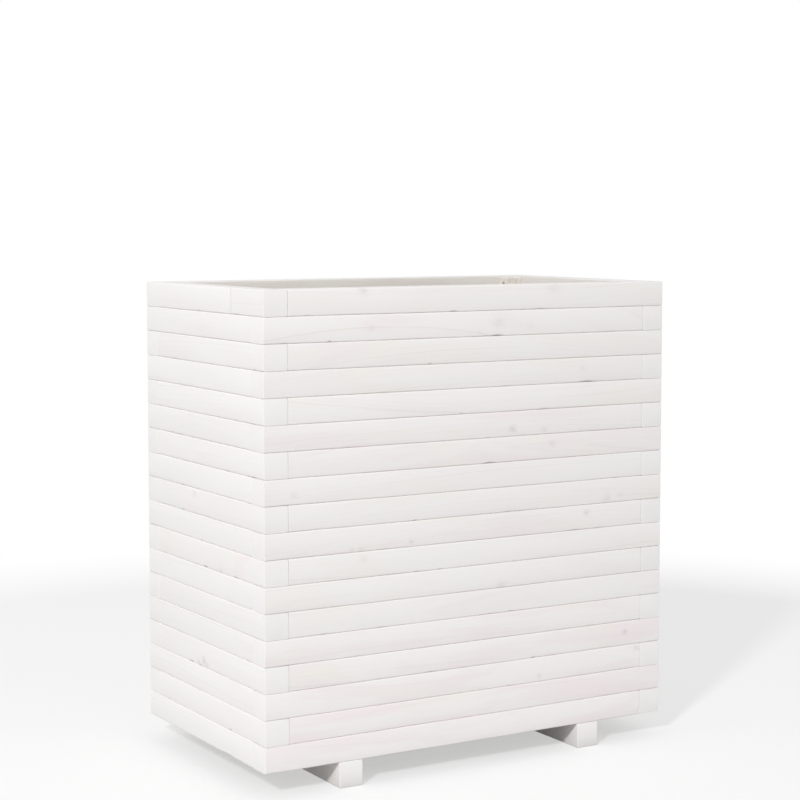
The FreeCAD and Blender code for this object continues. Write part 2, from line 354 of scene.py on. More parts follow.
@dataclass
class PineFigure:
    """What growth draws in a piece of pine, as shader values.

    The grain vector runs along, up and out from the tree's pith, in metres. Rings are the distance from
    the pith, bent by noise and cut into years, each year with a vigour of its own. Fibres are noise drawn
    out along the grain. Clouds and hue are broad noise. A knot is a ragged round patch that also bends
    the rings around itself. Bands are the values between which something sets in.
    """

    graph: Graph
    grain: Signal
    knot: Optional[Signal] = None
    knot_strength: Operand = 0.0
    ring_pitch: float = 3.6 * MM
    sway_years: float = 3.0
    ripple_years: float = 0.5
    dark_start: Band = (0.35, 0.86)
    dark_end: Band = (1.0, 0.9)
    weakest: float = 0.2
    vigour_gain: float = 2.0
    vigour_power: float = 4.0
    knot_flatness: float = 0.6
    rag_radii: float = 2.6
    core_band: Band = (1.5, 0.2)
    rim_band: Band = (0.75, 0.1)
    halo_radii: float = 2.4
    bend: float = 3.0 * MM
    bend_radii: float = 2.0
    hue_shift: float = 3.875
    latewood: Signal = field(init=False)
    fibre: Signal = field(init=False)
    cloud: Signal = field(init=False)
    hue: Signal = field(init=False)
    knot_core: Operand = field(init=False, default=0.0)
    knot_rim: Operand = field(init=False, default=0.0)
    knot_halo: Operand = field(init=False, default=0.0)

    def __post_init__(self) -> None:
        """Work out the rings, the fibres, the clouds and the knots."""
        graph = self.graph
        along, up, out = (graph.part(self.grain, axis) for axis in "XYZ")
        if self.knot is not None:
            up = self.around_knot(along, up, out)
        sway, ripple = (streak.read(graph, along, up, out) - NOISE_MIDDLE for streak in (SWAY, RIPPLE))
        radius = (up * up + out * out) ** 0.5
        years = radius * (1 / self.ring_pitch) + sway * self.sway_years + ripple * self.ripple_years
        year = years.floor()
        phase = years - year
        vigour = graph.add("TexWhiteNoise", {"noise_dimensions": "1D"}, {"W": year}, "Value")
        strength = self.weakest + self.vigour_gain * vigour ** self.vigour_power
        self.latewood = phase.rise(*self.dark_start) * phase.rise(*self.dark_end) * strength
        self.fibre, self.cloud = (streak.read(graph, along, up, out) for streak in (FIBRES, CLOUDS))
        self.hue = HUES.read(graph, along + self.hue_shift, up, out)

    def around_knot(self, along: Signal, up: Signal, out: Signal) -> Signal:
        """Draw the knot and bend the grain round it.

        The knot vector is the place relative to the knot, in knot radii. Its distance is made ragged by
        noise. The rings are shifted by the offset times a bell curve of the distance, so that they crowd
        round the knot and meet in its heart.

        Args:
            along: The grain's place along the pith.
            up: The grain's height over the pith.
            out: The grain's depth from the pith.

        Returns:
            The bent height.
        """
        graph = self.graph
        across, rise = graph.part(self.knot, "X"), graph.part(self.knot, "Y")
        ragged = RAGS.read(graph, along, up, out) - NOISE_MIDDLE
        distance = (across * across * self.knot_flatness + rise * rise) ** 0.5 + ragged * self.rag_radii
        self.knot_core = distance.rise(*self.core_band) * self.knot_strength
        self.knot_rim = distance.rise(*self.rim_band) * self.knot_strength
        self.knot_halo = distance.bell(self.halo_radii) * self.knot_strength
        return up - rise * self.bend * distance.bell(self.bend_radii)


@dataclass(frozen=True)
class Finish:
    """A look under a name of its own, built as one Principled surface."""

    name: str

    def values(self, graph: Graph) -> Mapping[str, Value]:
        """The surface's inputs, which each finish works out in its own way."""
        raise NotImplementedError

    def material(self) -> bpy.types.Material:
        """Build the finish.

        Returns:
            The material.
        """
        made = bpy.data.materials.new(self.name)
        graph = Graph(made)
        surface = graph.add("BsdfPrincipled", {}, self.values(graph), "BSDF")
        graph.close("OutputMaterial", surface)
        return made


@dataclass(frozen=True)
class Whitewash(Finish):
    """Thin white stain on planed pine: the wood shows through as faint rings, streaks and pale knots.

    The walls' inner faces are painted greyer and warmer, which is painted shade inside the planter, and
    show their rings a little more. Bands are the values between which something sets in, and shares
    are how much of a colour shows.
    """

    stick_width: float
    wash: Colour = linear(245, 243, 242)
    thin: Colour = linear(237, 235, 232)
    # Painted shade: the greyer, warmer colour that the walls' inner faces are darkened towards
    bare: Colour = linear(219, 214, 207)
    rose: Colour = linear(243, 234, 235)
    cream: Colour = linear(243, 239, 231)
    latewood: Colour = linear(222, 214, 208)
    knot: Colour = linear(203, 195, 190)
    bark: Colour = linear(160, 148, 140)
    # Dark colour of the splices' cracks, and painted shade in the chips of torn edges
    crack_and_chip_shade: Colour = linear(120, 110, 103)
    sawn_hide: float = 0.8
    cloud_band: Band = (0.3, 0.72)
    cloud_share: float = 0.30
    tone_share: float = 0.26
    inner_band: Band = (1.4 * MM, 0.2 * MM)
    inner_foot: float = 1 * MM
    inside_shade_share: float = 0.6
    inside_shade_cloud_share: float = 0.3
    inner_ring_share: float = 0.3
    rosy_band: Band = (0.45, 1.05)
    rosy_hue: float = 0.15
    hue_band: Band = (0.38, 0.58)
    blush_band: Band = (0.4, 0.62)
    blush_share: float = 0.12
    blush_patch_share: float = 0.8
    ring_share: float = 0.05
    ring_cloud_share: float = 0.08
    strong_wander: float = 2.0 * MM
    strong_below: Band = (-2.2 * MM, 0.0)
    strong_above: Band = (0.6 * MM, 0.0)
    strong_share: float = 0.4
    fibre_band: Band = (0.5, 0.85)
    fibre_share: float = 0.06
    halo_share: float = 0.42
    core_share: float = 0.26
    rim_share: float = 0.16
    splice_band: Band = (2.6 * MM, 0.4 * MM)
    splice_share: float = 0.14
    torn_edge_shade_share: float = 0.45
    roughness: float = 0.62
    fibre_roughness: float = 0.12
    ring_smoothness: float = 0.05
    relief: float = 0.10 * MM
    fibre_height: float = 0.5
    ring_height: float = 0.4
    knot_depth: float = 0.5

    def inner_faces(self, graph: Graph) -> Signal:
        """Find the walls' inner faces, which lie a stick's width in from the sides and over the feet.

        Args:
            graph: The finish's nodes.

        Returns:
            1 on them, and 0 from a little way round their arrises.
        """
        place = graph.place()
        over_feet = graph.part(place, "Z").rise(self.stick_width, self.stick_width + self.inner_foot)
        return graph.outside_plan(place, self.stick_width).rise(*self.inner_band) * over_feet

    def values(self, graph: Graph) -> Mapping[str, Value]:
        """Work out the finish from the mesh's own grain, knot, stock and over_ring attributes.

        Args:
            graph: The finish's nodes.

        Returns:
            The surface's inputs.
        """
        knot = graph.attribute("knot", "Color")
        stock = graph.attribute("stock", "Color")
        tone, rosy, torn = (graph.part(stock, axis) for axis in "XYZ")
        gap = graph.attribute("stock", "Alpha")
        planed = 1.0 - self.sawn_hide * graph.attribute("knot", "Alpha")
        figure = PineFigure(graph, graph.attribute("grain", "Vector"), knot, graph.part(knot, "Z"))
        cloud = figure.cloud.rise(*self.cloud_band)
        inner = self.inner_faces(graph)
        # Painted shade on the walls' inner faces, patchy with the clouds
        inside_shade = inner * (self.inside_shade_share + self.inside_shade_cloud_share * cloud)
        hue = figure.hue + rosy.rise(*self.rosy_band) * self.rosy_hue
        under = graph.blend(hue.rise(*self.hue_band), self.cream, self.rose)
        patches = figure.cloud.rise(*self.blush_band)
        blush = rosy * planed * (self.blush_share + self.blush_patch_share * patches)
        rings = figure.latewood * planed * (self.ring_share + self.ring_cloud_share * cloud)
        wander = (figure.cloud - NOISE_MIDDLE) * self.strong_wander
        over_ring = graph.attribute("over_ring", "Fac") + wander
        strong = over_ring.rise(*self.strong_below) * over_ring.rise(*self.strong_above) * planed
        fibres = figure.fibre.rise(*self.fibre_band) * planed
        colour = graph.blend(cloud * self.cloud_share + tone * self.tone_share, self.wash, self.thin)
        for amount, stain in ((inside_shade, self.bare),
                              (inner * figure.latewood * self.inner_ring_share, self.knot),
                              (blush, under),
                              (rings, self.latewood),
                              (strong * self.strong_share, self.latewood),
                              (fibres * self.fibre_share, self.latewood),
                              (figure.knot_halo * self.halo_share, self.rose),
                              (figure.knot_core * self.core_share, self.knot),
                              (figure.knot_rim * self.rim_share, self.bark),
                              (gap.rise(*self.splice_band) * self.splice_share, self.crack_and_chip_shade),
                              # Painted shade in the chip of a torn lower edge
                              (torn * self.torn_edge_shade_share, self.crack_and_chip_shade)):
            colour = graph.blend(amount, colour, stain)
        growth = figure.fibre * self.fibre_height + figure.latewood * self.ring_height
        height = growth * planed - figure.knot_rim * self.knot_depth
        smoothness = figure.latewood * self.ring_smoothness
        return {
            "Base Color": colour,
            "Roughness": self.roughness + figure.fibre * self.fibre_roughness - smoothness,
            "Normal": graph.bump(height, self.relief),
        }


@dataclass(frozen=True)
class Lane:
    """Sticks that lie side by side across one axis: their spacing, and how far its borders are moved."""

    axis: str
    pitch: float
    shift: float = 0.0

    def find(self, graph: Graph, place: Signal) -> tuple[Signal, Signal]:
        """Tell which stick a place is in.

        Args:
            graph: The finish's nodes.
            place: Object coordinates.

        Returns:
            The stick's number, and the distance from the middle of its lane.
        """
        across = graph.part(place, self.axis)
        number = (across * (1 / self.pitch) + self.shift).floor()
        return number, across - (number + (0.5 - self.shift)) * self.pitch


@dataclass(frozen=True)
class SawnWash(Finish):
    """Sawn pine under a thinner coat of the same wash. Rings and saw marks follow Object coordinates.

    The sticks in a lane come from places in the tree that lie a jump apart. Bands are the values between
    which something sets in, and shares are how much of a colour shows.
    """

    along: str
    up: Lane
    out: Lane
    pith: tuple[float, float]
    early: Colour = linear(231, 226, 219)
    late: Colour = linear(207, 195, 183)
    bare: Colour = linear(219, 206, 190)
    up_jump: float = 3.7
    out_jump: float = 1.9
    saw_pitch: float = 2.6 * MM
    saw_slant: float = 0.15
    saw_wander: float = 2.5
    saw_middle: float = 0.5
    scored_band: Band = (0.35, 0.7)
    scored_share: float = 0.12
    ring_share: float = 0.45
    fibre_band: Band = (0.45, 0.8)
    fibre_share: float = 0.3
    bare_band: Band = (0.42, 0.75)
    bare_share: float = 0.55
    roughness: float = 0.74
    fibre_roughness: float = 0.15
    relief: float = 0.25 * MM
    fibre_height: float = 0.6
    ring_height: float = 0.3
    scored_depth: float = 0.5

    def values(self, graph: Graph) -> Mapping[str, Value]:
        """Work out the finish.

        Args:
            graph: The finish's nodes.

        Returns:
            The surface's inputs.
        """
        place = graph.place()
        up_number, up = self.up.find(graph, place)
        out_number, out = self.out.find(graph, place)
        length = graph.part(place, self.along)
        along = length + up_number * self.up_jump + out_number * self.out_jump
        figure = PineFigure(graph, graph.vector(along, up + self.pith[0], out + self.pith[1]))
        drift = SAW_DRIFT.read(graph, along, up, out)
        slanted = length + up * self.saw_slant + out * self.saw_slant
        saw = (slanted * (1 / self.saw_pitch) + drift * self.saw_wander).fraction()
        stroke = saw.rise(0.0, self.saw_middle) * saw.rise(1.0, self.saw_middle)
        scored = stroke * drift.rise(*self.scored_band)
        colour = graph.blend(figure.latewood * self.ring_share, self.early, self.late)
        for amount, stain in ((figure.fibre.rise(*self.fibre_band) * self.fibre_share, self.late),
                              (figure.cloud.rise(*self.bare_band) * self.bare_share, self.bare),
                              (scored * self.scored_share, self.late)):
            colour = graph.blend(amount, colour, stain)
        growth = figure.fibre * self.fibre_height + figure.latewood * self.ring_height
        return {
            "Base Color": colour,
            "Roughness": self.roughness + figure.fibre * self.fibre_roughness,
            "Normal": graph.bump(growth - scored * self.scored_depth, self.relief),
        }


@dataclass(frozen=True)
class ZincPlate(Finish):
    """Bright zinc on screws, with spangle and handling marks, both in cells per metre."""

    bright: Colour = linear(214, 216, 218)
    dull: Colour = linear(168, 170, 172)
    spangle_cells: float = 900.0
    spangle_octaves: float = 3.0
    spangle_band: Band = (0.35, 0.7)
    smear_cells: float = 260.0
    smear_octaves: float = 2.0
    smear_roughness: float = 0.2
    roughness: float = 0.34
    relief: float = 0.03 * MM

    def values(self, graph: Graph) -> Mapping[str, Value]:
        """Work out the finish.

        Args:
            graph: The finish's nodes.

        Returns:
            The surface's inputs.
        """
        place = graph.place()
        spangle = graph.noise(place, self.spangle_cells, self.spangle_octaves)
        smear = graph.noise(place, self.smear_cells, self.smear_octaves)
        return {
            "Base Color": graph.blend(spangle.rise(*self.spangle_band), self.bright, self.dull),
            "Metallic": 1.0,
            "Roughness": self.roughness + smear * self.smear_roughness,
            "Normal": graph.bump(spangle, self.relief),
        }


@dataclass(frozen=True)
class Knot:
    """A branch cut through a batten, in millimetres: from the wall's left end and up from the bed."""

    along: float
    up: float
    radius: float
    strength: float


@dataclass(frozen=True)
class Flaw:
    """A stretch of torn or missing lower outer edge, in millimetres from the wall's left end; its chip is
    painted darker, as painted shade.
    """

    along: float
    length: float
    depth: float


@dataclass(frozen=True)
class Blush:
    """A stretch where the wood under the wash is rosy, in millimetres from the wall's left end."""

    along: float
    length: float
    amount: float

    def at(self, along: Array) -> Array:
        """The amount at places in metres: a bell curve that falls to one e-th at the stretch's ends."""
        return self.amount * np.exp(-((along / MM - self.along) / (self.length / 2)) ** 2)


@dataclass(frozen=True)
class Arch:
    """A cathedral in the figure, in millimetres: its strong ring's peak, and the drop at a reach."""

    along: float
    up: float
    drop: float
    reach: float

    @property
    def bow(self) -> float:
        """The drop over the square of the distance from the peak, per metre."""
        return self.drop * MM / (self.reach * MM) ** 2

    def over_ring(self, spot: Array) -> Array:
        """How far points of along, up and out lie over the strong ring, a parabola with its peak up."""
        return spot[:, 1] - self.up * MM + self.bow * (spot[:, 0] - self.along * MM) ** 2


@dataclass(frozen=True)
class Marks:
    """What one batten shows: knots, edge flaws, end-to-end splices, rosy stretches and a cathedral."""

    knots: tuple[Knot, ...] = ()
    flaws: tuple[Flaw, ...] = ()
    splices: tuple[float, ...] = ()
    blushes: tuple[Blush, ...] = ()
    arch: Optional[Arch] = None

    @property
    def cuts(self) -> Array:
        """The splices in metres, in order."""
        return np.sort(np.array(self.splices, float)) * MM


# Known marks of the front wall and of the left wall, by course
FRONT_MARKS = {
    18: Marks(
        knots=(Knot(160, 35, 8, 0.6), Knot(493, 30, 12, 0.3)),
        flaws=(Flaw(313, 20, 1.0), Flaw(437, 9, 0.6))),
    17: Marks(
        knots=(Knot(173, 19, 6, 0.25), Knot(358, 6, 4, 0.3),
               Knot(392, 20, 9, 0.4), Knot(452, 13, 5, 0.15)),
        flaws=(Flaw(390, 34, 1.5), Flaw(105, 10, 1.0)),
        blushes=(Blush(240, 160, 0.5),),
        arch=Arch(182, 19.5, 15, 181)),
    16: Marks(flaws=(Flaw(272, 12, 0.8),), blushes=(Blush(125, 110, 0.9),)),
    15: Marks(knots=(Knot(547, 21, 5, 0.3),), flaws=(Flaw(555, 48, 1.2),)),
    13: Marks(knots=(Knot(418, 10, 6, 0.95), Knot(475, 7, 5, 0.55))),
    12: Marks(knots=(Knot(490, 23, 6, 0.45),), flaws=(Flaw(376, 32, 1.4),)),
    11: Marks(knots=(Knot(47, 13, 6, 0.4),)),
    10: Marks(
        knots=(Knot(595, 7, 8, 0.5), Knot(621, 12, 5, 0.25)), flaws=(Flaw(247, 14, 0.7),)),
    9: Marks(
        knots=(Knot(141, 4, 4, 0.4), Knot(155, 3, 5, 0.45),
               Knot(240, 7, 4, 0.65), Knot(556, 26, 5, 0.8))),
    8: Marks(knots=(Knot(160, 27, 7, 0.35),), flaws=(Flaw(250, 14, 0.6),)),
    7: Marks(knots=(Knot(398, 3, 9, 0.5),)),
    6: Marks(flaws=(Flaw(415, 12, 0.6),)),
    4: Marks(
        knots=(Knot(632, 21, 5, 1.0),), flaws=(Flaw(458, 12, 0.9),), blushes=(Blush(630, 60, 0.7),)),
    3: Marks(
        knots=(Knot(469, 8, 4, 0.5), Knot(655, 31, 5, 0.6)), flaws=(Flaw(413, 9, 0.6),)),
}
LEFT_MARKS = {
    18: Marks(splices=(298,)),
    17: Marks(blushes=(Blush(210, 120, 0.7),)),
    16: Marks(flaws=(Flaw(371, 16, 0.5),)),
    13: Marks(flaws=(Flaw(92, 14, 0.8),)),
    12: Marks(flaws=(Flaw(284, 12, 0.5), Flaw(368, 18, 0.9))),
    10: Marks(
        knots=(Knot(170, 29, 5, 0.5),), flaws=(Flaw(131, 12, 1.0),), blushes=(Blush(156, 60, 0.6),)),
    9: Marks(flaws=(Flaw(195, 13, 0.8), Flaw(303, 10, 0.6))),
    8: Marks(
        knots=(Knot(260, 3, 5, 0.55),),
        flaws=(Flaw(207, 28, 1.6), Flaw(308, 18, 1.0)),
        blushes=(Blush(70, 40, 0.6), Blush(332, 75, 0.6))),
    5: Marks(flaws=(Flaw(188, 17, 0.6), Flaw(304, 16, 0.5), Flaw(346, 12, 0.7))),
    4: Marks(
        knots=(Knot(181, 4, 6, 0.5), Knot(200, 9, 7, 1.0), Knot(210, 4, 6, 0.6)),
        flaws=(Flaw(156, 26, 1.5), Flaw(187, 22, 0.8))),
    2: Marks(flaws=(Flaw(288, 16, 2.0),)),
}

SEEN_MARKS: dict[Wall, dict[int, Marks]] = {Wall.FRONT: FRONT_MARKS, Wall.LEFT: LEFT_MARKS}

# Front courses that are rosy all along, each with its amount
ROSY_FRONTS = {1: 0.8, 2: 0.95, 3: 0.9, 4: 0.7, 5: 0.85, 9: 0.7, 12: 0.75, 13: 0.7, 14: 0.4, 17: 0.4}


@dataclass(frozen=True)
class Bore:
    """A flat-roofed hole up into a stick's underside, placed in the stick's own axes."""

    along: float
    out: float
    radius: float
    depth: float
    quadrant_sides: int = 8

    def lining(self, border: Array, first: int) -> tuple[Array, list[Array]]:
        """Work out the hole's surface: a collar from four border points to a circle, a wall and a roof.

        The circle is the hole's middle plus its radius times cosine and sine. It starts halfway between
        the border's last corner and its first, so that each quadrant of it belongs to one corner.

        Args:
            border: The four corners of the face that the hole is drilled in, by number.
            first: The number of the first new point.

        Returns:
            The new points as along, up and out, and the faces.
        """
        sides = 4 * self.quadrant_sides
        step = np.arange(sides)
        after = (step + 1) % sides
        angle = step * 2 * math.pi / sides - math.pi
        circle = np.stack([self.along + self.radius * np.cos(angle), np.zeros(sides),
                           self.out + self.radius * np.sin(angle)], axis=-1)
        raised = circle + [0.0, self.depth, 0.0]
        hub = np.array([[self.along, self.depth, self.out]])
        mouth, roof, centre = first + step, first + sides + step, np.full(sides, first + 2 * sides)
        corner = border[step // self.quadrant_sides]
        quarters = np.arange(4)
        collar = np.stack([corner, mouth[after], mouth], axis=-1)
        bridges = np.stack([np.roll(border, 1), border, mouth[quarters * self.quadrant_sides]], axis=-1)
        wall = np.stack([mouth, mouth[after], roof[after], roof], axis=-1)
        lid = np.stack([centre, roof, roof[after]], axis=-1)
        return np.concatenate([circle, raised, hub]), [collar, bridges, wall, lid]


@dataclass
class Skin:
    """A stick's closed surface in its own axes, each point's share of torn edge and the sawn faces."""

    points: Array
    faces: list[tuple[int, ...]]
    torn: Array
    sawn: Array


@dataclass
class Stick:
    """A planed square stick in its own axes: along to the right, up, and out of the wall.

    The section is a rectangle with a quarter round at each corner, whose radius wavers along the stick.
    A face has no points between its two arrises, so its smooth normals lean from one to the other and
    it reads as slightly cushioned. Rings run from one end's cap over its eased edge and along the stick
    to the other cap. A cap is flat and folds to a level ridge, so that it is cushioned from top to
    bottom. Corners are numbered round the section from the upper outer one, and flaws tear the last,
    which is the lower outer one.
    """

    start: float
    stop: float
    height: float
    thickness: float
    easings: tuple[float, float]
    phases: Array
    bores: tuple[Bore, ...] = ()
    arris: float = 1.9 * MM
    waver: float = 0.35 * MM
    waves: tuple[float, float] = (310 * MM, 117 * MM)
    notch_half: float = 0.5 * MM
    notch_depth: float = 0.12 * MM
    notch_slack: float = 0.99
    end_margin: float = 0.8 * MM
    ridge_inset: float = 2 * MM
    spacing: float = 12 * MM
    place_digits: int = 5
    flaw_rings: int = 13
    arc_steps: int = 3
    torn_corner: int = 3

    def stations(self, marks: Marks) -> tuple[Array, Array]:
        """Place the rings.

        An end's rings follow a quarter round from the cap to the full section. A splice is a ring that
        is drawn in by the notch, between two full ones. No ring crosses a bore.

        Args:
            marks: The flaws and splices that need rings of their own.

        Returns:
            Each ring's place along the stick and how far its section is drawn in.
        """
        quarter = np.linspace(math.pi / 2, 0, self.arc_steps + 1)
        left, right = (easing * (1 - np.sin(quarter)) for easing in self.easings)
        left_inset, right_inset = (easing * (1 - np.cos(quarter)) for easing in self.easings)
        first, last = self.start + self.easings[0], self.stop - self.easings[1]
        inner, outer = first + self.end_margin, last - self.end_margin
        even = np.linspace(inner, outer, max(2, round((outer - inner) / self.spacing)) + 1)
        across = np.linspace(-0.5, 0.5, self.flaw_rings)
        flawed = [(flaw.along + flaw.length * across) * MM for flaw in marks.flaws]
        notched = [marks.cuts + side * self.notch_half for side in (-1, 1)]
        body = np.concatenate([even, *flawed, *notched])
        for bore in self.bores:
            body = body[np.abs(body - bore.along) > self.height / 2]
        borders = [bore.along + side * self.height / 2 for bore in self.bores for side in (-1, 1)]
        body = np.concatenate([body, borders])
        for cut in marks.cuts:
            body = body[np.abs(body - cut) >= self.notch_half * self.notch_slack]
        body = np.concatenate([body, marks.cuts])
        body = np.unique(np.round(body[(body >= inner) & (body <= outer)], self.place_digits))
        notches = np.isin(body, np.round(marks.cuts, self.place_digits))
        inset = np.where(notches, self.notch_depth, 0.0)
        return (np.concatenate([self.start + left, body, (self.stop - right)[::-1]]),
                np.concatenate([left_inset, inset, right_inset[::-1]]))

    def section(self, radii: Array) -> tuple[Array, Array]:
        """Work out the section's loop at each ring.

        Going round, the loop climbs the outer face, runs in over the top, down the inner face and out
        under the bottom. A corner's points are its centre plus its radius times sine and cosine.

        Args:
            radii: Corner radii, a row for each ring and a column for each corner.

        Returns:
            Up and out of each point from the section's middle, a row for each ring.
        """
        signs_up, signs_out = np.array([1, 1, -1, -1]), np.array([1, -1, -1, 1])
        turn = np.linspace(0, math.pi / 2, self.arc_steps + 1)
        angles = turn + np.arange(4)[:, None] * math.pi / 2
        spread = radii[:, :, None]
        up = (signs_up * (self.height / 2 - radii))[:, :, None] + spread * np.sin(angles)
        out = (signs_out * (self.thickness / 2 - radii))[:, :, None] + spread * np.cos(angles)
        return up.reshape(len(radii), -1), out.reshape(len(radii), -1)

    def surface(self, marks: Marks) -> Skin:
        """Work out the stick's surface.

        A corner's radius is the arris plus two sine waves along the stick. A flaw adds its depth to it
        over its length, as a raised cosine.

        Args:
            marks: Flaws and splices.

        Returns:
            The closed surface, measured from the stick's bed and outer plane.
        """
        place, inset = self.stations(marks)
        swing = [np.sin(place[:, None] * 2 * math.pi / wave + phase)
                 for wave, phase in zip(self.waves, self.phases)]
        radii = self.arris + self.waver * sum(swing) / len(self.waves)
        torn = np.zeros_like(radii)
        for flaw in marks.flaws:
            reach = np.clip(np.abs(place / MM - flaw.along) / (flaw.length / 2), 0, 1)
            bump = (1 + np.cos(math.pi * reach)) / 2
            radii[:, self.torn_corner] += flaw.depth * MM * bump
            # The share of torn edge, which the finish paints darker as painted shade
            torn[:, self.torn_corner] += min(1.0, flaw.depth) * bump
        up, out = self.section(radii)
        half_up, half_out = self.height / 2, self.thickness / 2
        up = up * (1 - inset / half_up)[:, None] + half_up
        out = out * (1 - inset / half_out)[:, None] - half_out
        along = np.broadcast_to(place[:, None], up.shape)
        within_arc = np.tile(np.arange(self.arc_steps + 1) % self.arc_steps > 0, 4)
        share = np.repeat(torn, self.arc_steps + 1, axis=1) * within_arc
        return self.welded(np.stack([along, up, out], axis=-1), share)

    def welded(self, points: Array, torn: Array) -> Skin:
        """Close the grid round the section and at the two caps, and drill the bores.

        Args:
            points: The grid of points, whose first and last rings are the caps' outlines.
            torn: Each point's share of torn edge.

        Returns:
            The closed surface.
        """
        rings, loop = points.shape[:2]
        index = np.arange(rings * loop).reshape(rings, loop)
        after = np.roll(index, -1, axis=1)
        quads = np.stack([index[:-1], index[1:], after[1:], after[:-1]], axis=-1)
        flat = [points.reshape(-1, 3)]
        caps: list[Array] = []
        for row, order in ((index[0], 1), (index[-1], -1)):
            caps += self.cap(row, sum(map(len, flat)), order)
            flat.append(self.ridge(points[row[0] // loop, 0, 0]))
        whole = np.ones(quads.shape[:2], bool)
        # The underside starts at the last point of the third corner
        underside = 3 * (self.arc_steps + 1) - 1
        linings: list[Array] = []
        for bore in self.bores:
            row = np.searchsorted(points[:, 0, 0], bore.along) - 1
            whole[row, underside] = False
            added, faces = bore.lining(quads[row, underside], sum(map(len, flat)))
            flat.append(added)
            linings += faces
        parts = [*caps, quads[whole], *linings]
        faces = [tuple(face) for part in parts for face in part.tolist()]
        sawn = np.arange(len(faces)) < sum(map(len, caps))
        local = np.concatenate(flat)
        share = np.zeros(len(local))
        share[index.ravel()] = torn.ravel()
        return Skin(local, faces, share, sawn)

    def ridge(self, place: float) -> Array:
        """The outer and the inner end of a cap's ridge, halfway up."""
        level = self.height / 2
        return np.array([[place, level, -self.ridge_inset],
                         [place, level, self.ridge_inset - self.thickness]])

    def cap(self, outline: Array, first: int, order: int) -> list[Array]:
        """Join a cap's outline to its ridge.

        Args:
            outline: The outline's points by number.
            first: The number of the ridge's outer end, which its inner end follows.
            order: 1 at the left end, -1 at the right end, which faces the other way.

        Returns:
            Fans from the ridge's ends, and the two faces between them above and below the ridge.
        """
        after = np.roll(outline, -1)
        corner = np.arange(len(outline)) // (self.arc_steps + 1)
        end = first + np.isin(corner, (1, 2))
        next_end = np.roll(end, -1)
        alone = end == next_end
        fan = np.stack([end, outline, after], axis=-1)[alone]
        between = np.stack([end, outline, after, next_end], axis=-1)[~alone]
        return [fan[:, ::order], between[:, ::order]]


@dataclass
class Shape:
    """Vertices and faces of a mesh with the per-corner values that its finish reads."""

    points: Array
    faces: list[tuple[int, ...]]
    grain: Array
    knot: Array
    stock: Array
    over_ring: Array
    sharp_angle: float = math.radians(50)

    @staticmethod
    def joined(shapes: Sequence["Shape"]) -> "Shape":
        """Put several shapes into one.

        Args:
            shapes: The shapes in order.

        Returns:
            One shape whose face indices are moved on by the vertices before them.
        """
        starts = np.cumsum([0] + [len(shape.points) for shape in shapes[:-1]]).tolist()
        faces = [tuple(i + start for i in face)
                 for start, shape in zip(starts, shapes) for face in shape.faces]
        stacked = {name: np.concatenate([getattr(shape, name) for shape in shapes])
                   for name in ("points", "grain", "knot", "stock", "over_ring")}
        return Shape(faces=faces, **stacked)

    def stand_in(self, node: str, finish: bpy.types.Material) -> bpy.types.Object:
        """Make the smooth-shaded object that takes a whitewashed node's place.

        Args:
            node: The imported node.
            finish: The piece's material.

        Returns:
            The piece, at the origin.
        """
        name = f"{node}_dressed"
        mesh = bpy.data.meshes.new(name)
        mesh.from_pydata(self.points.tolist(), [], self.faces)
        for label, kind, values, key in (("grain", "FLOAT_VECTOR", self.grain, "vector"),
                                         ("knot", "FLOAT_COLOR", self.knot, "color"),
                                         ("stock", "FLOAT_COLOR", self.stock, "color"),
                                         ("over_ring", "FLOAT", self.over_ring, "value")):
            layer = mesh.attributes.new(label, kind, "CORNER")
            layer.data.foreach_set(key, values.astype(np.float32).ravel())
        mesh.shade_smooth()
        mesh.set_sharp_from_angle(angle=self.sharp_angle)
        mesh.materials.append(finish)
        piece = bpy.data.objects.new(name, mesh)
        bpy.context.scene.collection.objects.link(piece)
        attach(piece, BODY)
        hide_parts(node)
        return piece


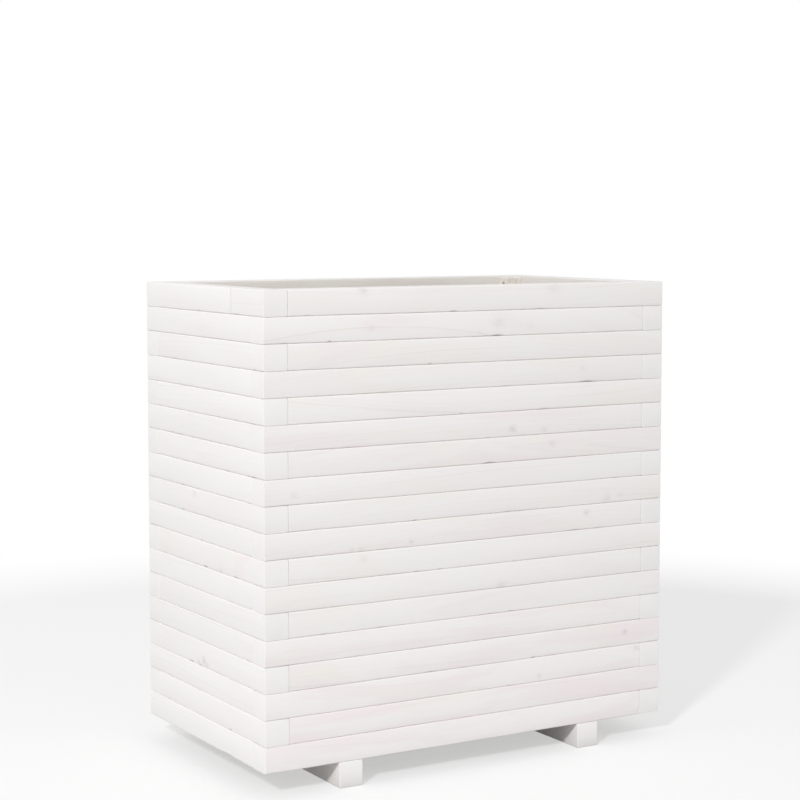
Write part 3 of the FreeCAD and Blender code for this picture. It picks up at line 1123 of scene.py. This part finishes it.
@dataclass
class Timber:
    """The trees that the sticks were sawn from: draws where a pith lay, a length's tone and its wear.

    A cathedral has a pith of its own, at a set bearing and reach from the batten.
    """

    draws: np.random.Generator
    pith_reach: Band = (25 * MM, 90 * MM)
    pith_drift: float = 0.012
    pith_bow: float = 0.12
    trunk: float = 40.0
    arch_bearing: float = 0.32
    arch_reach: float = 75 * MM
    tone_powers: Band = (1.5, 2.5)
    tone_scales: Band = (1.0, 0.22)

    def phases(self) -> Array:
        """Where the waves of each arris start, a row for each wave."""
        return self.draws.uniform(0, 2 * math.pi, (2, 4))

    def dress(self, skin: Skin, marks: Marks, place: Array) -> Shape:
        """Give each face corner its grain, knot, stock and over_ring values.

        The stick is cut at its splices into lengths. Each length has its own pith, a line beside the
        stick that drifts across it, and the grain is the place relative to that line. The knot value is
        the place relative to the nearest knot, in knot radii.

        Args:
            skin: The stick's surface.
            marks: Knots, splices, blushes and cathedral.
            place: The points in the frame.

        Returns:
            The finished shape.
        """
        corners = np.array([i for face in skin.faces for i in face])
        sizes = np.array([len(face) for face in skin.faces])
        owner = np.repeat(np.arange(len(sizes)), sizes)
        spot = skin.points[corners]
        middle = np.bincount(owner, spot[:, 0]) / sizes
        length_of = np.searchsorted(marks.cuts, middle)[owner]
        grain = np.zeros((len(corners), 3))
        tones = np.zeros((len(corners), 2))
        for number in range(len(marks.cuts) + 1):
            chosen = length_of == number
            grain[chosen] = self.grain(spot[chosen], marks.arch)
            tones[chosen] = self.draws.random(2) ** self.tone_powers * self.tone_scales
        rosy = tones[:, 1] + sum(blush.at(spot[:, 0]) for blush in marks.blushes)
        gap = np.abs(spot[:, :1] - marks.cuts).min(1, initial=OUT_OF_REACH)
        stock = np.stack([tones[:, 0], rosy.clip(0, 1), skin.torn[corners], gap], axis=-1)
        knot = self.knots(spot, middle[owner], skin.sawn[owner], marks.knots)
        over_ring = np.full(len(corners), OUT_OF_REACH)
        if marks.arch is not None:
            over_ring = marks.arch.over_ring(spot)
        return Shape(place, skin.faces, grain, knot, stock, over_ring)

    def grain(self, spot: Array, arch: Optional[Arch]) -> Array:
        """Place a length in its tree.

        The pith is a line at a drawn bearing and reach from the length's middle. It drifts across by a
        share of the distance along, and bows by the square of the distance from a peak.

        Args:
            spot: Points as along, up and out.
            arch: A cathedral to follow, or none for a drawn bow.

        Returns:
            The points from the pith. The along axis starts at a drawn place in the trunk, so no two
            lengths are alike.
        """
        bearing = self.draws.uniform(0, 2 * math.pi)
        reach = self.draws.uniform(*self.pith_reach)
        drift = self.draws.normal(0, self.pith_drift, 2)
        bow = self.draws.normal(0, self.pith_bow)
        start = self.draws.uniform(0, self.trunk)
        centre = spot.mean(0)
        peak = centre[0]
        if arch is not None:
            bearing, reach, drift = self.arch_bearing, self.arch_reach, np.zeros(2)
            bow, peak = arch.bow, arch.along * MM
        along, up, out = (spot - centre).T
        up = up + reach * math.sin(bearing) + drift[0] * along + bow * (spot[:, 0] - peak) ** 2
        out = out + reach * math.cos(bearing) + drift[1] * along
        return np.stack([along + start, up, out], axis=-1)

    @staticmethod
    def knots(spot: Array, middle: Array, sawn: Array, knots: Sequence[Knot]) -> Array:
        """Measure each corner from the knot nearest to its face.

        Args:
            spot: Corner points.
            middle: Where each corner's face lies along the stick.
            sawn: Whether that face is a sawn end.
            knots: The knots.

        Returns:
            Along and up in knot radii, the knot's strength, and 1 on sawn ends.
        """
        far_off = Knot(-1000.0, -1000.0, 1.0, 0.0)
        table = np.array([[knot.along, knot.up, knot.radius, knot.strength]
                          for knot in knots or (far_off,)])
        table[:, :3] *= MM
        nearest = table[np.abs(middle[:, None] - table[:, 0]).argmin(1)]
        offset = (spot[:, :2] - nearest[:, :2]) / nearest[:, 2:3]
        return np.concatenate([offset, nearest[:, 3:], sawn[:, None]], axis=1)


@dataclass
class Courses:
    """The eighteen courses of battens, whose corners lap by turns.

    Drawn knots and nicks keep clear of the ends and edges. Their sizes are in millimetres.
    """

    timber: Timber
    finish: bpy.types.Material
    count: int = 18
    butt_gap: float = 0.5 * MM
    bed_gap: float = 0.2 * MM
    butt_easing: float = 0.2 * MM
    seen_easing: float = 0.3 * MM
    knots_per_metre: float = 1.5
    nicks_per_metre: float = 3.0
    end_clear: float = 30.0
    edge_clear: float = 3.0
    knot_radii: Band = (3.5, 8.0)
    knot_strengths: Band = (0.25, 0.9)
    nick_lengths: Band = (8.0, 40.0)
    nick_depths: Band = (0.15, 0.6)
    pairs: tuple[tuple[str, Wall, Wall], ...] = (
        ("front_back", Wall.FRONT, Wall.BACK), ("side", Wall.LEFT, Wall.RIGHT))
    front_blush: float = 0.28
    blush_spread: float = 4.0

    def marks(self, wall: Wall, number: int, start: float, stop: float, height: float) -> Marks:
        """Collect a batten's marks: those that are known, drawn knots on the other walls, and nicks.

        Args:
            wall: The batten's wall.
            number: Its course.
            start: Where it starts along the wall.
            stop: Where it stops.
            height: Its height.

        Returns:
            The marks.
        """
        draws = self.timber.draws
        seen = SEEN_MARKS.get(wall, {}).get(number, Marks())
        length = stop - start
        span = start / MM + self.end_clear, stop / MM - self.end_clear
        rise = self.edge_clear, height / MM - self.edge_clear
        knots = draws.poisson(length * self.knots_per_metre)
        drawn_knots = [draws.uniform(*band, knots)
                       for band in (span, rise, self.knot_radii, self.knot_strengths)]
        nicks = draws.poisson(length * self.nicks_per_metre)
        drawn_nicks = [draws.uniform(*band, nicks)
                       for band in (span, self.nick_lengths, self.nick_depths)]
        strays = () if wall in SEEN_MARKS else tuple(map(Knot, *drawn_knots))
        worn = tuple(map(Flaw, *drawn_nicks))
        amount = ROSY_FRONTS.get(number, self.front_blush) if wall is Wall.FRONT else 0.0
        overall = Blush(sum(span) / 2, self.blush_spread * length / MM, amount)
        return replace(seen, knots=seen.knots + strays, flaws=seen.flaws + worn,
                       blushes=(*seen.blushes, overall))

    def batten(self, number: int, wall: Wall, bed: float, height: float) -> Shape:
        """Make one batten.

        Odd courses run through at the wall's left end, even ones at its right end. At the other end
        they stop a thickness and a thin gap short.

        Args:
            number: The course, counted from the ground.
            wall: The wall.
            bed: The height of the batten's underside.
            height: The batten's height, which is also its thickness.

        Returns:
            The batten in the frame.
        """
        low, high = (np.array(corner) for corner in CAD_BOX)
        half = (high - low) / 2
        span = 2 * float(abs(half @ wall.along))
        turned = number % 2 == 0
        short = height + self.butt_gap
        start, stop = (short, span) if turned else (0.0, span - short)
        easings = (self.seen_easing, self.butt_easing)
        marks = self.marks(wall, number, start, stop, height)
        stick = Stick(start, stop, height - self.bed_gap, height, easings[::-1] if turned else easings,
                      self.timber.phases())
        skin = stick.surface(marks)
        left_end = (high + low) / 2 + wall.outward * abs(half @ wall.outward) - wall.along * span / 2
        left_end[2] = bed + self.bed_gap
        return self.timber.dress(skin, marks, left_end + skin.points @ wall.axes)

    def build(self) -> Iterator[bpy.types.Object]:
        """Make the pieces, one for each course node.

        Yields:
            Each finished piece.
        """
        for number in range(1, self.count + 1):
            for label, *walls in self.pairs:
                node = f"course_{number:02d}_{label}_battens"
                low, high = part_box(node)
                shapes = [self.batten(number, wall, low.z, high.z - low.z) for wall in walls]
                yield Shape.joined(shapes).stand_in(node, self.finish)


@dataclass
class Feet:
    """The two runner feet, front to back under the lowest course, bored from below for their screws."""

    timber: Timber
    finish: bpy.types.Material
    nodes: tuple[str, str] = ("left_foot", "right_foot")
    easing: float = 0.9 * MM
    bore_radius: float = 5 * MM
    bore_depth: float = 14 * MM

    def bores(self, length: float, thickness: float) -> tuple[Bore, Bore]:
        """Place a foot's two bores, half a thickness in from its ends and in the middle of its width."""
        inset = thickness / 2
        return tuple(Bore(along, -inset, self.bore_radius, self.bore_depth)
                     for along in (inset, length - inset))

    def build(self) -> Iterator[bpy.types.Object]:
        """Make the pieces, one for each foot node.

        Yields:
            Each finished piece.
        """
        for node in self.nodes:
            low, high = (np.array(corner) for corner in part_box(node))
            thickness, length, height = high - low
            stick = Stick(0.0, length, height, thickness, (self.easing, self.easing),
                          self.timber.phases(), self.bores(length, thickness))
            skin = stick.surface(Marks())
            left_end = np.array([low[0], high[1], low[2]])
            shape = self.timber.dress(skin, Marks(), left_end + skin.points @ Wall.LEFT.axes)
            yield shape.stand_in(node, self.finish)


@dataclass
class InsideFrame:
    """Posts, floor slats and screws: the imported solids, with finishes."""

    post: bpy.types.Material
    slat: bpy.types.Material
    screw: bpy.types.Material

    def dress(self, nodes: Mapping[str, bpy.types.Object]) -> Iterator[bpy.types.Object]:
        """Give each solid that stays its finish.

        Args:
            nodes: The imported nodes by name.

        Yields:
            Each dressed node.
        """
        for name, node in sorted(nodes.items()):
            if name.endswith("_screws"):
                finish = self.screw
            elif name.endswith("_post"):
                finish = self.post
            elif name.startswith("floor_slat"):
                finish = self.slat
            else:
                continue
            node.data.materials.clear()
            node.data.materials.append(finish)
            yield node


@dataclass(frozen=True)
class Studio:
    """Pale floor, white surround, one soft key from the front left and even light from all round.

    Lights are strengths at which 1 is white. The camera's angles are in degrees.
    """

    key_direction: tuple[float, float, float] = (-0.671, -0.554, 0.472)
    key_distance: float = 6.0
    key_size: float = 0.6
    key_power: float = 180.0
    surround: float = 0.72
    overhead_drop: float = 0.45
    floor_half: float = 9.0
    floor_seen: Colour = (0.96, 0.96, 0.96)
    floor_bounce: Colour = (0.36, 0.35, 0.34)
    floor_light: float = 0.44
    near_light: float = 0.2
    near_reach: float = 0.6
    floor_skirt: float = 0.04
    floor_glow: float = 0.5
    fade_band: Band = (0.8, 1.9)
    camera_place: tuple[float, float, float] = (-1.580, -2.628, 0.825)
    camera_yaw: float = 30.861
    camera_pitch: float = 4.215
    lens: float = 88.27
    shift: float = -0.05

    def build(self) -> None:
        """Set the view, the light, the floor and the camera."""
        bpy.context.scene.view_settings.view_transform = "Standard"
        self.light_surround()
        self.hang_key()
        self.lay_floor()
        self.place_camera()

    @staticmethod
    def seen_directly(graph: Graph) -> Signal:
        """1 for rays that show the surround to the eye, straight, mirrored or through glass."""
        path = [graph.add("LightPath", {}, {}, name)
                for name in ("Is Camera Ray", "Is Glossy Ray", "Is Transmission Ray")]
        return path[0].larger(path[1]).larger(path[2])

    def light_surround(self) -> None:
        """Make the world white to the eye and a little less bright as light.

        The light falls off evenly with the sine of the height. An upright wall gets as much of it as
        from an even surround, because the mean sine of what it sees is 4 over 3 pi.
        """
        world = bpy.data.worlds.new("white_surround")
        bpy.context.scene.world = world
        graph = Graph(world)
        seen = self.seen_directly(graph)
        sine = graph.part(graph.add("TexCoord", {}, {}, "Generated"), "Z")
        mean_sine = 4 / (3 * math.pi)
        light = self.surround * (1 + self.overhead_drop * (mean_sine - sine.larger(0.0)))
        sockets = {"Color": WHITE, "Strength": light + seen * (1 - light)}
        graph.close("OutputWorld", graph.add("Background", {}, sockets, "Background"))

    def hang_key(self) -> None:
        """Hang the key light, aimed at the middle of the object."""
        low, high = CAD_BOX
        toward = np.array(self.key_direction) / np.linalg.norm(self.key_direction)
        lamp = bpy.data.lights.new("key", "AREA")
        lamp.shape = "DISK"
        lamp.size = self.key_size
        lamp.energy = self.key_power
        key = bpy.data.objects.new("key", lamp)
        key.location = (low + high) / 2 + Vector(toward * self.key_distance)
        key.rotation_euler = Vector(-toward).to_track_quat("-Z", "Y").to_euler()
        bpy.context.scene.collection.objects.link(key)

    def lay_floor(self) -> None:
        """Lay a pale floor that takes the shadow near the object and is plain white further out.

        Round the object it gives a steady light, a little stronger close by. Under the object it gives
        back only what gets there.
        """
        corners = self.floor_half * np.array([(-1, -1, 0), (1, -1, 0), (1, 1, 0), (-1, 1, 0)])
        mesh = bpy.data.meshes.new("floor")
        mesh.from_pydata(corners.tolist(), [], [(0, 1, 2, 3)])
        finish = bpy.data.materials.new("pale_floor")
        graph = Graph(finish)
        place = graph.place()
        outside = graph.outside_plan(place)
        light = self.floor_light + self.near_light * outside.larger(0.0).bell(self.near_reach)
        glow = {"Color": graph.vector(light, light, light)}
        around = graph.add("Emission", {}, glow, "Emission")
        bounce = graph.mixed(outside.rise(0.0, self.floor_skirt), graph.matt(self.floor_bounce), around)
        distance = graph.add("VectorMath", {"operation": "LENGTH"}, {"Vector": place}, "Value")
        fade = distance.rise(*self.fade_band).larger(self.floor_glow)
        plain = graph.add("Emission", {}, {"Color": WHITE, "Strength": 1.0}, "Emission")
        seen = graph.mixed(fade, graph.matt(self.floor_seen), plain)
        graph.close("OutputMaterial", graph.mixed(self.seen_directly(graph), bounce, seen))
        mesh.materials.append(finish)
        floor = bpy.data.objects.new("floor", mesh)
        bpy.context.scene.collection.objects.link(floor)
        floor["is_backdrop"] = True

    def place_camera(self) -> None:
        """Set the camera at the photograph's angle."""
        lens = bpy.data.cameras.new("camera")
        lens.lens = self.lens
        lens.shift_y = self.shift
        camera = bpy.data.objects.new("camera", lens)
        camera.location = self.camera_place
        camera.rotation_euler = (math.radians(90 - self.camera_pitch), 0, math.radians(-self.camera_yaw))
        bpy.context.scene.collection.objects.link(camera)
        bpy.context.scene.camera = camera


def write_sizes() -> None:
    """Work out the solids' box and the visual model's box as plain lists."""
    boxes = {"cad": CAD_BOX, "visual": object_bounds()}
    plain = {name: [list(corner) for corner in box] for name, box in boxes.items()}


def sawn_finishes() -> tuple[bpy.types.Material, bpy.types.Material]:
    """Build the finishes of the posts and of the slats, whose lanes are read from the frame.

    Returns:
        The posts' finish and the slats' finish.
    """
    span = CAD_BOX[1] - CAD_BOX[0]
    slat_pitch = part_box("floor_slat_2")[0].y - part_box("floor_slat_1")[0].y
    post_lanes = Lane("X", span.x), Lane("Y", span.y)
    slat_lanes = Lane("Y", slat_pitch, shift=0.5), Lane("Z", span.z, shift=0.5)
    post = SawnWash(f"{Slot.SAWN.value}_post", "Z", *post_lanes, pith=(0.03, 0.02))
    slat = SawnWash(f"{Slot.SAWN.value}_slat", "X", *slat_lanes, pith=(0.01, -0.05))
    return post.material(), slat.material()


def main() -> None:
    """Build the planter piece by piece, then its studio, and work out the sizes."""
    logging.basicConfig(level=logging.INFO)
    timber = Timber(np.random.default_rng(WOOD_SEED))
    foot_low, foot_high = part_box("left_foot")
    whitewash = Whitewash(Slot.WHITEWASH.value, foot_high.z - foot_low.z).material()
    inside = InsideFrame(*sawn_finishes(), ZincPlate(Slot.ZINC.value).material())
    for piece in chain(Courses(timber, whitewash).build(), Feet(timber, whitewash).build(),
                       inside.dress(frame["nodes"])):
        LOG.info("%s: %d faces", piece.name, len(piece.data.polygons))
    Studio().build()
    write_sizes()


if __name__ == "__main__":
    main()
